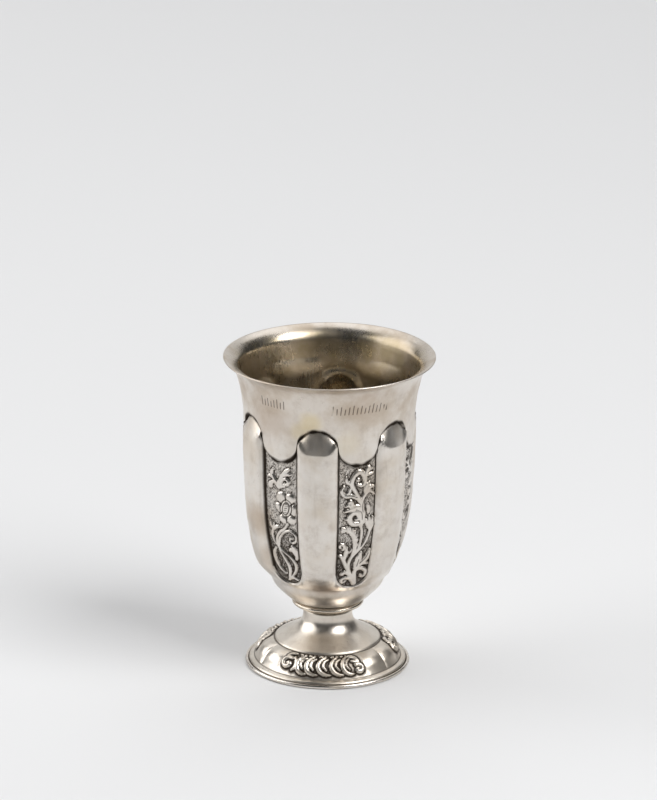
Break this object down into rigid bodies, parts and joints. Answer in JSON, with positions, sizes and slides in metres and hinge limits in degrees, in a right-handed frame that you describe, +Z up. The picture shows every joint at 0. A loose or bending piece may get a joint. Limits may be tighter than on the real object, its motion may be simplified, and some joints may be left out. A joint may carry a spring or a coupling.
{
  "type": "kiddush cup",
  "caption": "Footed metal goblet: flared rim, raised rounded lobes between sunk panels of chased scrolls and flowers, a collar, a flared stem and a gadrooned foot on a wire ring.",
  "frame": {"origin": "centre of the underside, in the plane that the base wire stands on", "axes": "+Z up through the middle of the mouth; -Y is the front, with a lobe just left of it; +X to the right as seen from the front"},
  "size_m": [0.0786, 0.0786, 0.12],
  "materials": {
    "bowl_silver": "satin, oxidised in the chased panels",
    "collar_silver": "polished, dull in the groove",
    "foot_silver": "polished, oxidised between the gadroons",
    "wire_silver": "polished, worn"
  },
  "bodies": {
    "root": {"bowl": "bowl_silver", "collar": "collar_silver", "foot": "foot_silver", "base_wire": "wire_silver"}
  },
  "joints": []
}
